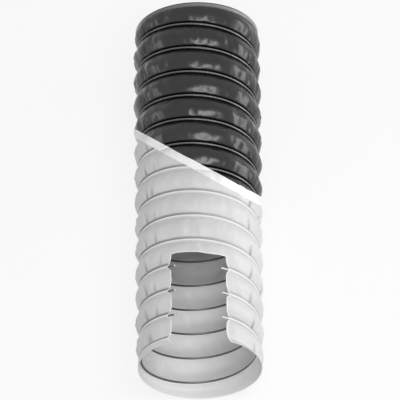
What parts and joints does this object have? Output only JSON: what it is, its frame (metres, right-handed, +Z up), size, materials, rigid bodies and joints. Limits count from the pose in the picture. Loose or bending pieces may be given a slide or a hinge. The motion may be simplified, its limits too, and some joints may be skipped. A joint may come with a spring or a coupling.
{
  "type": "ventilation hose",
  "caption": "Flexible ventilation hose on a spring-steel wire helix, dark film at one end and light film at the other, cut away to show the wire.",
  "frame": {"origin": "on the floor under the middle of the hose's length", "axes": "+Y along the hose from the cut-away light end to the dark end, +Z up through the middle of the cut-away, +X to the right seen from the cut-away end"},
  "size_m": [0.168, 0.506, 0.168],
  "materials": {
    "dark_film": "glossy film",
    "white_band": "plain white",
    "light_film": "smooth film",
    "spring_wire": "drawn spring steel"
  },
  "bodies": {
    "root": {"dark_sleeve": "dark_film", "joining_band": "white_band", "light_sleeve": "light_film", "wire_helix": "spring_wire"}
  },
  "joints": []
}
